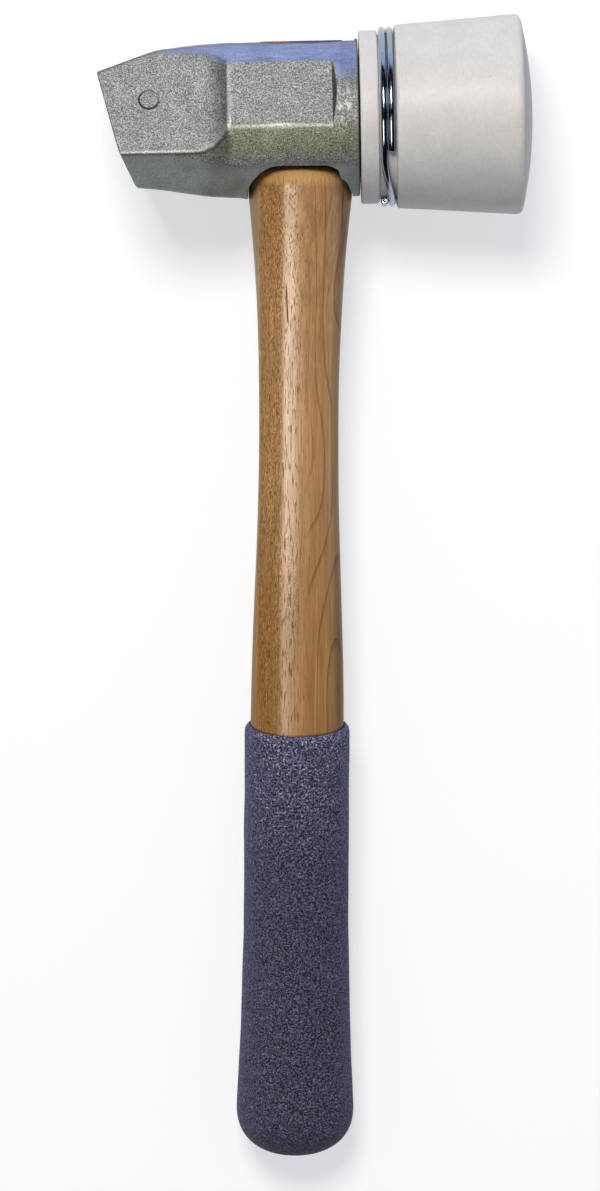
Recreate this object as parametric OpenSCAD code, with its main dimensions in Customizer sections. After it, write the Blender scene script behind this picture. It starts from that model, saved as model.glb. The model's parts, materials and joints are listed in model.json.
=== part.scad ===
// Flooring mallet: cast head with a steel poll block and a replaceable rubber
// striking cap, on a short hickory handle with a foam grip sleeve.
// X runs along the head to the cap, Y up the handle to the head, Z out of the
// flat side. The origin is on the handle's axis at the middle of the grip.

/* [Head] */
// Height of the head's axis above the middle of the grip
eye_y = 276; // [250:1:300]
// Cant of the head on the handle, cap end up
head_hang = 1.5; // [0:0.1:3]
// Radius of the round body and collar
head_r = 25.7; // [25:0.1:27]
// Where the collar ends, measured from the handle's axis
collar_x = 19.0; // [18.5:0.5:21]
// Tilt of the side flats above the head's mid-plane
flat_tilt = 23.3; // [18:0.1:26]
// Distance of a side flat from the head's axis
flat_d = 23.15; // [22.6:0.05:24.5]
// How far the poll block's faces stand proud of the flats
block_proud = 2.6; // [1.5:0.1:3]
// Diameter of the raised round foundry mark on the near poll face
mark_d = 6.2; // [4:0.1:9]

/* [Spigot and cap] */
// Diameter of the spigot that carries the rubber cap
spigot_d = 38; // [34:0.5:42]
// Length of the spigot beyond the collar
spigot_l = 40; // [34:1:46]
// Radius of the cap's flange next to the collar
flange_r = 28.3; // [27.9:0.1:29]
// Radius of the floor of the groove for the wire ring
groove_r = 26.7; // [26.2:0.1:26.8]
// Radius of the cap's body behind the groove
body_r = 29.9; // [29.6:0.1:31]
// Radius of the cap at its striking rim
rim_r = 32.7; // [32:0.1:34]
// Length of the cap from the flange to the rim
cap_l = 52.6; // [48:0.2:58]
// Rise of the domed striking face over its rim
dome_h = 3.9; // [2:0.1:6]

/* [Wire ring] */
// Diameter of the spring wire
wire_d = 2.3; // [2:0.1:2.3]
// Radius of the ring, measured to the middle of the wire
ring_r = 28.35; // [28.35:0.05:28.6]
// Gap between the ring's two turns
ring_gap = 0.45; // [0.42:0.01:0.6]
// Angle between the wire's two ends, round the head
ring_ends_a = 52; // [45:1:80]

/* [Handle] */
// Width at the shoulder, just below the head
neck_w = 33.9; // [32:0.1:34]
// Depth at the shoulder
neck_d = 40.6; // [36:0.1:41]
// Width at the waist
waist_w = 26.2; // [25:0.1:30]
// Depth at the waist
waist_d = 22.6; // [21:0.1:26]
// Width at the mouth of the grip sleeve
grip_w = 31.0; // [29:0.1:32]
// Depth at the mouth of the grip sleeve
grip_d = 26.4; // [25:0.1:28]
// Width of the swell at the butt
butt_w = 35.4; // [33:0.1:37]
// Depth of the swell at the butt
butt_d = 30.2; // [28:0.1:32]
// Length of the eye's oval
eye_l = 27.2; // [26:0.1:28]
// Width of the eye's oval
eye_w = 13.0; // [12:0.1:15]

/* [Grip sleeve] */
// Wall of the foam sleeve
foam_t = 2.0; // [1.5:0.1:3]
// Height of the sleeve's mouth above the middle of the grip
mouth_y = 75; // [70:0.5:80]
// Distance from the middle of the grip to the sleeve's closed end
butt_y = 71.9; // [70:0.1:76]
// How much lower the sleeve's mouth lies on the near side than at the edges
mouth_dip = 2.2; // [0:0.1:3]

/* [Hidden] */
$fn = 96;
over = 1; // how far a cutter runs past what it cuts
glue_gap = 0.05; // half the play left between pieces that are driven or glued together
run_gap = 0.08; // radial play of the cap on its spigot

// Side outline of the poll in the head's frame: end face, cut-back heel and the
// slopes that lead to the body's top and bottom
tip_top = [-65.5, 16.5];
tip_low = [-58.8, -8.1];
heel = [-53.6, -20.4];
block_x0 = -70;
block_x1 = -23.4; // where the block meets the flat
block_full_x = -31; // from here to the tip the block has its full height
poll_outline = [
    tip_top, [-47.2, 22.8], [-32.4, 24.6], [-24, 25.1], [0, 25.1],
    [0, -head_r - over], [-18, -head_r], [-27, -24.6], [-37, -23], [-46.5, -21.4], heel, tip_low
];
block_d = flat_d + block_proud;
block_top_y = 22.5;
block_edge_y = -9.0; // height of the widest line
heel_half = 23.5; // half the poll's width at its bottom
crown_r = 54.5; // the poll's top is gently rounded
flat_x1 = 10.5;
flare_slope = 0.72; // how fast the block grows out of the round body
block_x_r = 36; // radius that clears the block's own corners

// Half the width of the block's side face at a height above the head's axis
function face_z(y) = (block_d - y * sin(flat_tilt)) / cos(flat_tilt);

// Eye
mouth_l = 34.8;
mouth_x = 0.35; // the mouth lies a little nearer the cap than the handle's axis
mouth_w = 42.3;
mouth_corner_r = 10;
mouth_depth = 13.0; // from the head's axis down to the floor of the mouth
top_y = eye_y + head_r; // top of the head over the eye
handle_top_y = top_y + 2; // the wood is driven past the top, then ground off round
trim_r = head_r + 0.25; // radius to which the wood and the wedges are ground off
top_flat = 25.1; // height of the narrow flat that is ground along the top of the body
proud = 0.2; // how far the wood and the wedges stand proud of it

// Cap profile
cap_x0 = collar_x + 0.4;
flange_t = 6.0;
groove_l = 5.6;
rim_round = 1.6;
groove_x0 = cap_x0 + flange_t;
groove_x1 = groove_x0 + groove_l;
rim_x = cap_x0 + cap_l;
bore_r = spigot_d / 2 + run_gap;
spigot_x1 = collar_x + spigot_l;
dome_r = (rim_r * rim_r + dome_h * dome_h) / (2 * dome_h);

// Handle outline
shoulder_y = eye_y - 20.8;
flare_y = eye_y - 26; // the neck has its full width and depth from here to the shoulder
waist_y = eye_y - 104;
swell_y = 25; // the grip starts to swell here towards the butt
round_y = -55; // and starts to round off here
tenon_y = eye_y - 13.6; // where the rounded shoulder ends inside the mouth
butt_power = 2.3; // squareness of the rounded butt
sides = 40; // facets round the handle and the sleeve

function ease(t) = t <= 0 ? 0 : t >= 1 ? 1 : t * t * (3 - 2 * t);

// Width or depth of the bare handle at a height, from its four driving sizes
function handle_size(y, neck, waist, grip, butt) =
    y > waist_y
    ? waist + (neck - waist) * pow(min(1, (y - waist_y) / (flare_y - waist_y)), 2.2)
    : y > swell_y ? waist + (grip - waist) * ease((waist_y - y) / (waist_y - mouth_y))
    : grip + (butt - grip) * pow((swell_y - max(y, round_y)) / (swell_y - round_y), 2);
function handle_w(y) = handle_size(y, neck_w, waist_w, grip_w, butt_w);
function handle_d(y) = handle_size(y, neck_d, waist_d, grip_d, butt_d);

// Shrink factor of a section in the rounded butt, t from 0 at its start to 1 at the pole
function butt_fade(t) = pow(1 - pow(t, butt_power), 1 / butt_power);

// One oval section of the handle, grown by g all round; its near side may lie lower by dip
function oval(y, w, d, g = 0, dip = 0) = [
    for (i = [0:sides - 1])
        let (a = 360 * i / sides) [(w / 2 + g) * cos(a), y - dip * sin(a), (d / 2 + g) * sin(a)]
];

butt_steps = [0.985, 0.93, 0.83, 0.7, 0.55, 0.4, 0.25, 0.12];

// Sections of the handle or, grown by g, of the sleeve's outer skin, from the butt upwards
function butt_rings(g) = [
    for (t = butt_steps)
        let (f = butt_fade(t), y = round_y - t * (butt_y + round_y - foam_t + g))
        oval(y, (butt_w + 2 * g) * f, (butt_d + 2 * g) * f)
];
function shaft_rings(y0, y1, step, g) =
    [for (y = [y0:step:y1]) oval(y, handle_w(y), handle_d(y), g)];

// A closed skin over a list of sections that all have the same number of points
module skin(rings) {
    n = len(rings[0]);
    last = len(rings) - 1;
    points = [for (r = rings) each r];
    walls = [
        for (k = [0:last - 1], i = [0:n - 1])
            let (a = k * n + i, b = k * n + (i + 1) % n)
            each [[a, b, b + n], [a, b + n, a + n]]
    ];
    first_cap = [for (i = [n - 1:-1:0]) i];
    last_cap = [for (i = [0:n - 1]) last * n + i];
    polyhedron(points = points, faces = concat([first_cap], walls, [last_cap]), convexity = 6);
}

// Places what is drawn about the head's own axis
module on_head() {
    translate([0, eye_y, 0]) rotate([0, 0, head_hang]) children();
}

// Extrudes an outline drawn as [height, out] along the head
module along_head(x0, x1) {
    translate([x0, 0, 0]) rotate([90, 0, 90]) linear_extrude(height = x1 - x0) children();
}

// A solid of revolution about the head's axis, drawn as [radius, distance along it]
module turned() {
    rotate([0, 90, 0]) rotate_extrude() children();
}

// Turns what is drawn with its face up so that it faces along a side flat's normal
module facing_flat(side) {
    mirror([0, 0, side > 0 ? 0 : 1]) rotate([-flat_tilt, 0, 0]) children();
}

// The eye, an oval of two round ends and straight sides, with play g all round
module eye_oval(g = 0) {
    r = eye_w / 2 + g;
    x = (eye_l - eye_w) / 2;
    for (s = [-1, 1]) translate([s * x, 0]) circle(r = r);
    square([2 * x, 2 * r], center = true);
}

// The flared mouth of the eye under the head
module mouth_oval() {
    x = mouth_l / 2 - mouth_corner_r;
    z = mouth_w / 2 - mouth_corner_r;
    translate([mouth_x, 0]) {
        for (sx = [-1, 1], sz = [-1, 1]) translate([sx * x, sz * z]) circle(r = mouth_corner_r);
        square([mouth_l, 2 * z], center = true);
        square([2 * x, mouth_w], center = true);
    }
}

// Extrudes an outline drawn as [x, z] up the handle
module up_handle(y0, y1) {
    translate([0, y0, 0]) rotate([-90, 0, 0]) linear_extrude(height = y1 - y0) children();
}

module poll_section() {
    low_y = -head_r - over;
    top_half = face_z(block_top_y);
    edge_half = face_z(block_edge_y);
    polygon([
        [head_r + over, top_half], [block_top_y, top_half], [block_edge_y, edge_half], [heel[1], heel_half],
        [low_y, heel_half], [low_y, -heel_half], [heel[1], -heel_half], [block_edge_y, -edge_half],
        [block_top_y, -top_half], [head_r + over, -top_half]
    ]);
}

// The poll block: a coffin-shaped section, cut to the side outline, that grows
// out of the round body as a cone and steps down to the flats on both sides
module poll() {
    wide = 90;
    intersection() {
        along_head(block_x0, block_full_x + 20) poll_section();
        linear_extrude(height = wide, center = true) polygon(poll_outline);
        translate([0, head_r - crown_r, 0]) rotate([0, 90, 0]) cylinder(r = crown_r, h = 2 * wide, center = true);
        union() {
            flare_l = (block_x_r - head_r) / flare_slope;
            x = block_x1 - flare_l;
            translate([x, 0, 0]) rotate([0, 90, 0]) cylinder(r1 = block_x_r, r2 = head_r, h = flare_l);
            translate([block_x0, 0, 0]) rotate([0, 90, 0]) cylinder(r = block_x_r, h = x - block_x0 + 0.01);
        }
        for_both_flats() {
            rotate([90, 0, 0]) linear_extrude(height = wide, center = true) polygon([
                [block_x0, -wide], [block_x0, block_d], [block_full_x, block_d], [block_x1, flat_d],
                [block_x1 + over, flat_d], [block_x1 + over, -wide]
            ]);
        }
    }
}

// Keeps only what lies behind both side flats' outlines
module for_both_flats() {
    intersection() {
        facing_flat(1) children();
        facing_flat(-1) children();
    }
}

module head() {
    flat_cut = 30;
    color("gray") difference() {
        on_head() union() {
            difference() {
                translate([block_x1 - over, 0, 0]) rotate([0, 90, 0])
                    cylinder(r = head_r, h = collar_x - block_x1 + over);
                for (side = [-1, 1]) facing_flat(side)
                    translate([block_x1 - 2 * over, -flat_cut, flat_d])
                        cube([flat_x1 - block_x1 + 2 * over, 2 * flat_cut, flat_cut]);
                translate([block_x1 - 2 * over, top_flat, -flat_cut]) cube(2 * flat_cut);
            }
            poll();
            translate([collar_x - over, 0, 0]) rotate([0, 90, 0]) spigot();
            foundry_mark();
        }
        up_handle(eye_y - head_r - 6, top_y + 6) eye_oval();
        up_handle(eye_y - head_r - 6, eye_y - mouth_depth) mouth_oval();
    }
}

// The spigot, with a shallow groove under the wire ring and a chamfered nose
module spigot() {
    r = spigot_d / 2;
    l = spigot_l + over;
    chamfer = 2;
    nip_l = 6;
    nip_depth = 1.2;
    nip_x = (groove_x0 + groove_x1) / 2 - collar_x + over;
    difference() {
        union() {
            cylinder(r = r, h = l - chamfer);
            translate([0, 0, l - chamfer]) cylinder(r1 = r, r2 = r - chamfer, h = chamfer);
        }
        translate([0, 0, nip_x - nip_l / 2]) difference() {
            cylinder(r = r + over, h = nip_l);
            translate([0, 0, -over]) cylinder(r = r - nip_depth, h = nip_l + 2 * over);
        }
    }
}

// A raised round mark left by the casting, near the middle of one poll face
module foundry_mark() {
    x = -48.7;
    along_face = -2.7;
    h = 0.35;
    facing_flat(1) translate([x, along_face, block_d - over]) cylinder(d = mark_d, h = over + h);
}

// Grinds off what stands out of the eye, almost flush with the head's top
module ground_off() {
    wide = 60;
    intersection() {
        children();
        on_head() rotate([0, 90, 0]) cylinder(r = trim_r, h = 2 * mouth_l, center = true);
        on_head() translate([-wide, top_flat + proud - 2 * wide, -wide]) cube(2 * wide);
    }
}

// A wedge that points down the handle, drawn from its thick end
module wedge(l, top_t, tip_t, w) {
    rotate([90, 0, 90]) translate([0, 0, -w / 2]) linear_extrude(height = w)
        polygon([[0, top_t / 2], [-l, tip_t / 2], [-l, -tip_t / 2], [0, -top_t / 2]]);
}

// Wooden wedge along the eye's oval; g is the play of the kerf that takes it
module wooden_wedge_blank(g = 0) {
    l = 32;
    top_t = 4.8;
    tip_t = 1.2;
    w = 24;
    translate([0, handle_top_y + g, 0]) wedge(l + 2 * g, top_t + 2 * g, tip_t + 2 * g, w + 2 * g);
}

// Steel wedge driven across the wooden one on one side of the eye
module steel_wedge_blank(side, g = 0) {
    x = 6.6;
    slant = 18;
    l = 21;
    top_t = 3;
    tip_t = 0.8;
    w = 9;
    translate([side * x, handle_top_y + g, 0]) rotate([0, side * slant, 0]) rotate([0, 90, 0])
        wedge(l + 2 * g, top_t + 2 * g, tip_t + 2 * g, w + 2 * g);
}

module steel_wedge(side) {
    color("dimgray") ground_off() steel_wedge_blank(side);
}

module handle() {
    color("peru") difference() {
        union() {
            skin(concat(
                butt_rings(-glue_gap),
                shaft_rings(round_y, mouth_y, 10, -glue_gap),
                [oval(mouth_y + 4, handle_w(mouth_y + 4), handle_d(mouth_y + 4), -glue_gap)],
                shaft_rings(mouth_y + 10.2, shoulder_y, 7.5, 0),
                [
                    oval(shoulder_y, neck_w, neck_d),
                    oval(shoulder_y + 3.2, neck_w - 0.7, neck_d - 1.2),
                    oval(shoulder_y + 5.2, neck_w - 3.4, neck_d - 5.6),
                    oval(tenon_y, eye_l - 1.4, eye_w + 1.6)
                ]
            ));
            ground_off() up_handle(tenon_y - 3, handle_top_y) eye_oval(-glue_gap);
        }
        wooden_wedge_blank(glue_gap);
        for (side = [-1, 1]) steel_wedge_blank(side, glue_gap);
    }
}

module wooden_wedge() {
    color("burlywood") difference() {
        ground_off() wooden_wedge_blank();
        for (side = [-1, 1]) steel_wedge_blank(side, glue_gap);
    }
}

// The sleeve is one skin: up the outside from the closed end, over the rolled
// mouth and down the inside
module grip_sleeve() {
    rim_l = 3.4;
    outer = concat(butt_rings(foam_t), shaft_rings(round_y, mouth_y - 10, 10, foam_t));
    rim = [
        for (a = [0:22.5:90])
            let (y = mouth_y - rim_l + rim_l * sin(a), g = foam_t * cos(a))
            oval(y, handle_w(y), handle_d(y), g, mouth_dip)
    ];
    inner = concat(butt_rings(0), shaft_rings(round_y, mouth_y - 10, 10, 0));
    color("darkslateblue") skin(concat(outer, rim, [for (k = [len(inner) - 1:-1:0]) inner[k]]));
}

// Points of an arc in the cap's profile
function arc(c, r, a0, a1, n) = [for (k = [0:n]) let (a = a0 + (a1 - a0) * k / n) c + r * [cos(a), sin(a)]];

module rubber_cap() {
    dome_c = rim_x + dome_h - dome_r;
    rim_a = asin((rim_r - rim_round) / dome_r);
    dome = [
        for (k = [12:-1:0]) let (a = rim_a * k / 12) [dome_r * sin(a), dome_c + dome_r * cos(a)]
    ];
    edge = 0.7;
    profile = concat(
        [[bore_r, cap_x0], [flange_r - edge, cap_x0], [flange_r, cap_x0 + edge]],
        [[flange_r, groove_x0 - edge / 2], [flange_r - edge / 2, groove_x0]],
        [[groove_r, groove_x0], [groove_r, groove_x1], [body_r - edge, groove_x1], [body_r, groove_x1 + edge]],
        arc([rim_r - rim_round, rim_x - rim_round], rim_round, 0, 70, 4),
        dome,
        [[0, spigot_x1 + run_gap], [bore_r, spigot_x1 + run_gap]]
    );
    color("ivory") on_head() turned() polygon(profile);
}

// The ring is one unbroken wire: a turn against the groove's inner wall, a jog
// across where only one strand lies, and a turn against its outer wall
wire_sides = 6;
wire_steps = 24; // sections a turn
ring_a0 = 163; // where the wire starts round the head, 0 at its top and 90 on the near side
ring_a = 720 - ring_ends_a; // angle from one end of the wire to the other
ring_pitch = wire_d + ring_gap;
ring_x0 = (groove_x0 + groove_x1 - ring_pitch) / 2;
jog_share = (ring_ends_a - 8) / ring_a;

function ring_angle(t) = ring_a0 + ring_a * t;
function ring_x(t) = ring_x0 + ring_pitch * ease((t - 0.5) / jog_share + 0.5);
function ring_point(t) =
    let (a = ring_angle(t)) [ring_x(t), ring_r * cos(a), ring_r * sin(a)];
function wire_section(t) =
    let (a = ring_angle(t), out = [0, cos(a), sin(a)], c = ring_point(t))
    [for (k = [0:wire_sides - 1])
        let (b = 360 * k / wire_sides) c + wire_d / 2 * (cos(b) * out + sin(b) * [1, 0, 0])];

wire_n = round(wire_steps * ring_a / 360);
gap_n = 360; // points at which the wire's gap to itself is measured
gap_points = [for (k = [0:gap_n]) ring_point(k / gap_n)];
wire_gaps = [
    for (i = [0:gap_n], j = [i + 1:gap_n])
        if ((j - i) * ring_a > gap_n * 90) norm(gap_points[i] - gap_points[j]) - wire_d
];
echo(least_gap_of_the_wire_ring = min(wire_gaps));

module wire_ring() {
    color("silver") on_head() skin([for (k = [0:wire_n]) wire_section(k / wire_n)]);
}

head();
handle();
wooden_wedge();
steel_wedge(-1);  // steel_wedge_poll_side
steel_wedge(1);  // steel_wedge_cap_side
grip_sleeve();
rubber_cap();
wire_ring();
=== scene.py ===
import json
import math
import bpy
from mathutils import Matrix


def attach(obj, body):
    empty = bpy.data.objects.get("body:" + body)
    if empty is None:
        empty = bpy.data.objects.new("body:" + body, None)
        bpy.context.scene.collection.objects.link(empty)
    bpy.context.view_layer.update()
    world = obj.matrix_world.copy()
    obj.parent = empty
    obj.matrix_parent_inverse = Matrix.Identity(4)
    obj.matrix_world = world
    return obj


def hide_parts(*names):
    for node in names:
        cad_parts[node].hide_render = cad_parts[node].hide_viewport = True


bl_info = {
    "name": "Flooring mallet",
    "version": (1, 0, 0),
    "blender": (4, 5, 0),
    "location": "View3D > Sidebar > Mallet",
    "description": "Builds the finished surfaces of a flooring mallet round its packed model",
    "category": "Add Mesh",
}

from functools import reduce
from types import SimpleNamespace

import bpy
import numpy as np
from bpy.props import FloatProperty, FloatVectorProperty, PointerProperty
from mathutils import Vector

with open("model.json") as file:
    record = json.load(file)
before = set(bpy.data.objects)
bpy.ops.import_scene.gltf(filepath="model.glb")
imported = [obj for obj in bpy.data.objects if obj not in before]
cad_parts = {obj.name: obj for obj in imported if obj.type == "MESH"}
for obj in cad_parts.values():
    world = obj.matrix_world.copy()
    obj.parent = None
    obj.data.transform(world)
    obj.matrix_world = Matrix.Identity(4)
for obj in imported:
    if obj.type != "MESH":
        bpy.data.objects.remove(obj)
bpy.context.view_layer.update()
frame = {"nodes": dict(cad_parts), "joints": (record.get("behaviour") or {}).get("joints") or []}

# Shapes are worked out in millimetres and angles in radians; meshes are in metres
MM = 0.001
TAU = 2 * math.pi

# The head's own frame, read from the joints: u runs along the head to the cap,
# v up through the eye and w out of the flat side
joints = {joint["name"]: joint for joint in frame["joints"]}
AXIS = Vector(joints["cap_pull"]["axis"]).normalized()
HANG = math.atan2(AXIS.y, AXIS.x)
ON_AXIS = Vector(joints["ring_turn"]["pos_m"])
EYE_Y = (ON_AXIS.y - ON_AXIS.x * AXIS.y / AXIS.x) / MM


# Settings that a user may change

def length(name, description, default):
    """A length property whose default is given in millimetres."""
    return FloatProperty(
        name=name, description=description, default=default * MM, unit="LENGTH", precision=5
    )


def angle(name, description, default):
    """An angle property whose default is given in degrees."""
    return FloatProperty(
        name=name, description=description, default=math.radians(default), unit="ROTATION"
    )


def colour(name, description, default):
    """A colour property without transparency."""
    return FloatVectorProperty(
        name=name, description=description, default=default, subtype="COLOR", min=0, max=1
    )


class MalletHeadSettings(bpy.types.PropertyGroup):
    """Sizes and finish of the cast head."""

    radius: length("Body radius", "Radius of the round body and the collar", 25.7)
    collar_end: length("Collar end", "Where the collar ends, from the handle's axis", 19.0)
    flat_tilt: angle("Flat tilt", "Tilt of the side flats above the head's mid-plane", 23.3)
    flat_distance: length("Flat distance", "Distance of a side flat from the head's axis", 23.15)
    block_proud: length("Block proud", "How far the poll block stands proud of the flats", 2.6)
    top_flat: length("Top flat", "Height of the narrow flat ground along the top", 25.1)
    mark_diameter: length("Mark diameter", "Diameter of the raised foundry mark", 6.2)
    spigot_diameter: length("Spigot diameter", "Diameter of the spigot under the cap", 38)
    spigot_length: length("Spigot length", "Length of the spigot beyond the collar", 40)
    casting: colour("Casting", "Colour of the shot-blasted casting", (0.345, 0.343, 0.338))
    # Painted reflection: the cool blue of the sky's reflection on the head's top is painted in this
    # colour
    sky_reflection_tone: colour("Ground top", "Cool tone of the ground top", (0.262, 0.312, 0.540))
    # Painted shade: the olive colour that darkens the hollows under the flats stands in for shade and
    # reflection
    painted_olive_shade: colour("Grime", "Olive tone in the hollows under the flats", (0.275, 0.285, 0.19))


class MalletHandleSettings(bpy.types.PropertyGroup):
    """Sizes and finish of the wooden handle."""

    neck_width: length("Neck width", "Width at the shoulder below the head", 33.9)
    neck_depth: length("Neck depth", "Depth at the shoulder below the head", 40.6)
    waist_width: length("Waist width", "Width at the waist", 26.2)
    waist_depth: length("Waist depth", "Depth at the waist", 22.6)
    grip_width: length("Grip width", "Width at the mouth of the sleeve", 31.0)
    grip_depth: length("Grip depth", "Depth at the mouth of the sleeve", 26.4)
    butt_width: length("Butt width", "Width of the swell at the butt", 35.4)
    butt_depth: length("Butt depth", "Depth of the swell at the butt", 30.2)
    eye_length: length("Eye length", "Length of the eye's oval", 27.2)
    eye_width: length("Eye width", "Width of the eye's oval", 13.0)
    late_wood: colour("Late wood", "Dense tan wood of the growth rings", (0.60, 0.315, 0.125))
    early_wood: colour("Early wood", "Porous wood of the growth rings", (0.56, 0.268, 0.062))
    sapwood: colour("Sapwood", "Pale wood along one edge", (0.46, 0.30, 0.13))
    pores: colour("Pores", "Dark flecks where vessels are cut open", (0.10, 0.038, 0.010))


class MalletGripSettings(bpy.types.PropertyGroup):
    """Sizes and finish of the foam sleeve."""

    wall: length("Wall", "Thickness of the foam", 2.0)
    mouth: length("Mouth height", "Height of the sleeve's mouth over the middle of the grip", 75)
    mouth_dip: length("Mouth dip", "How much lower the mouth lies on the near side", 2.2)
    butt: length("Butt depth", "Distance from the middle of the grip to the closed end", 71.65)
    foam: colour("Foam", "Colour of the foam", (0.060, 0.055, 0.105))
    speckle: colour("Speckle", "Colour of the foam's light grains", (0.182, 0.172, 0.335))


class MalletCapSettings(bpy.types.PropertyGroup):
    """Sizes and finish of the rubber cap."""

    flange_radius: length("Flange radius", "Radius of the flange next to the collar", 28.3)
    groove_radius: length("Groove radius", "Radius of the groove's floor", 26.7)
    body_radius: length("Body radius", "Radius behind the groove", 29.9)
    rim_radius: length("Rim radius", "Radius at the striking rim", 32.7)
    cap_length: length("Length", "From the flange to the rim", 52.6)
    dome: length("Dome", "Rise of the striking face over its rim", 3.9)
    rubber: colour("Rubber", "Colour of the rubber", (0.775, 0.738, 0.692))


class MalletRingSettings(bpy.types.PropertyGroup):
    """Sizes and finish of the wire ring."""

    wire: length("Wire", "Diameter of the spring wire", 2.3)
    radius: length("Ring radius", "Radius to the middle of the wire", 28.35)
    gap: length("Gap", "Gap between the ring's two turns", 0.2)
    ends_apart: angle("Ends apart", "Angle between the wire's two ends", 52)
    plating: colour("Plating", "Colour of the bright plating", (0.30, 0.355, 0.45))


class MalletStageSettings(bpy.types.PropertyGroup):
    """Floor, light and camera."""

    camera_height: length("Camera height", "Height of the camera over the tool", 1500)
    camera_above: length("Camera above", "Distance of the camera above the head's axis", 39)
    camera_pitch: angle("Camera pitch", "Tilt of the camera down the handle", 7.47)
    camera_roll: angle("Camera roll", "Turn of the picture", 0.316)
    floor: colour("Floor", "Colour of the floor", (0.58, 0.58, 0.58))


SETTINGS = {
    "mallet_head": MalletHeadSettings,
    "mallet_handle": MalletHandleSettings,
    "mallet_grip": MalletGripSettings,
    "mallet_cap": MalletCapSettings,
    "mallet_ring": MalletRingSettings,
    "mallet_stage": MalletStageSettings,
}


def chosen(name):
    """The scene's settings of one group, with every length in millimetres."""
    group = getattr(bpy.context.scene, name)
    values = {key: getattr(group, key) for key in SETTINGS[name].__annotations__}
    for key in values:
        if group.bl_rna.properties[key].unit == "LENGTH":
            values[key] /= MM
    return SimpleNamespace(**values)


# Shape helpers

def around(count):
    """Angles of columns spaced evenly once round."""
    return np.linspace(0, TAU, count, endpoint=False)


def xyz(x, y, z):
    """Points from their three coordinates, each repeated over the others' shapes."""
    return np.stack(np.broadcast_arrays(x, y, z), axis=-1)


def ease(value, low=0, high=1):
    """Smooth step from 0 at low to 1 at high: 3 t^2 - 2 t^3, held at its ends."""
    t = np.clip((value - low) / (high - low), 0, 1)
    return t * t * (3 - 2 * t)


def hump(value, middle, width):
    """A hump of height 1 round the middle: exp(-((value - middle) / width)^2)."""
    return np.exp(-((value - middle) / width) ** 2)


def larger(a, b, r):
    """The larger of two distances, with the edge where they cross rounded over r."""
    near = np.clip(r - np.abs(a - b), 0, None) / r
    return np.maximum(a, b) + near * near * r / 4


def smaller(a, b, r):
    """The smaller of two distances, with the hollow where they cross filled over r."""
    return -larger(-a, -b, r)


def waves(points, seed, size, height):
    """Slight unevenness: the sum of sine waves about `size` long in seeded directions."""
    count = 9
    draw = np.random.default_rng(seed)
    direction = draw.normal(size=(count, 3))
    direction /= np.linalg.norm(direction, axis=1, keepdims=True)
    direction /= size * draw.uniform(0.6, 1.6, (count, 1))
    phase = draw.uniform(0, TAU, count)
    return height * np.sin(TAU * (points @ direction.T) + phase).sum(-1) / math.sqrt(count)


def on_head(points):
    """Turns points from the head's frame (u, v, w) into the model's frame."""
    u, v, w = np.moveaxis(points, -1, 0)
    c, s = math.cos(HANG), math.sin(HANG)
    return xyz(u * c - v * s, EYE_Y + u * s + v * c, w)


def from_head(points):
    """Turns points of the model's frame into the head's frame (u, v, w)."""
    x, y, z = np.moveaxis(points, -1, 0)
    c, s = math.cos(HANG), math.sin(HANG)
    return xyz(x * c + (y - EYE_Y) * s, (y - EYE_Y) * c - x * s, z)


def rounded(corners, steps):
    """A line through corners (x, r, radius): each corner becomes the parabola that leaves
    the line `radius` before it and joins it `radius` after it."""
    points = np.array([corner[:2] for corner in corners], float)
    line = [points[:1]]
    t = np.linspace(0, 1, steps)[:, None]
    for before, at, after, (_, _, radius) in zip(points, points[1:], points[2:], corners[1:]):
        start = at + radius * (before - at) / np.linalg.norm(before - at)
        end = at + radius * (after - at) / np.linalg.norm(after - at)
        line.append((1 - t) ** 2 * start + 2 * t * (1 - t) * at + t * t * end)
    line.append(points[-1:])
    return np.concatenate(line)


def spread(line, step):
    """The same line with points added so that none are more than `step` apart."""
    lengths = np.linalg.norm(np.diff(line, axis=0), axis=1)
    parts = [
        a + (b - a) * np.arange(n)[:, None] / n
        for a, b, n in zip(line, line[1:], np.ceil(lengths / step).astype(int).clip(1))
    ]
    return np.concatenate(parts + [line[-1:]])


def turned(line, a):
    """Rings of a line (u, r) turned about the head's axis: (u, r cos a, r sin a)."""
    u, r = line[:, :1], line[:, 1:]
    return xyz(u, r * np.cos(a), r * np.sin(a))


def skin(name, rings, first=None, last=None):
    """A closed mesh over rings (rows, columns, 3): four-sided faces between neighbouring
    rings and a fan to the first and last pole. The sign of the volume turns it outwards."""
    rows, columns = rings.shape[:2]
    first = rings[0].mean(0) if first is None else first
    last = rings[-1].mean(0) if last is None else last
    points = np.concatenate([rings.reshape(-1, 3), [first, last]]) * MM
    index = np.arange(rows * columns).reshape(rows, columns)
    right = np.roll(index, -1, axis=1)
    quads = np.stack([index[:-1], right[:-1], right[1:], index[1:]], axis=-1).reshape(-1, 4)
    start = xyz(right[0], index[0], rows * columns)
    end = xyz(index[-1], right[-1], rows * columns + 1)
    fans = np.concatenate([start, end])
    halves = np.concatenate([quads[:, :3], quads[:, [0, 2, 3]], fans])
    a, b, c = (points[halves[:, k]] for k in range(3))
    if (a * np.cross(b, c)).sum() < 0:
        quads, fans = quads[:, ::-1], fans[:, ::-1]
    mesh = bpy.data.meshes.new(name)
    mesh.from_pydata(points.tolist(), [], quads.tolist() + fans.tolist())
    return placed(name, mesh)


def placed(name, data):
    """A new object in the scene that holds a mesh, a lamp or a camera."""
    thing = bpy.data.objects.new(name, data)
    bpy.context.scene.collection.objects.link(thing)
    return thing


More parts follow.
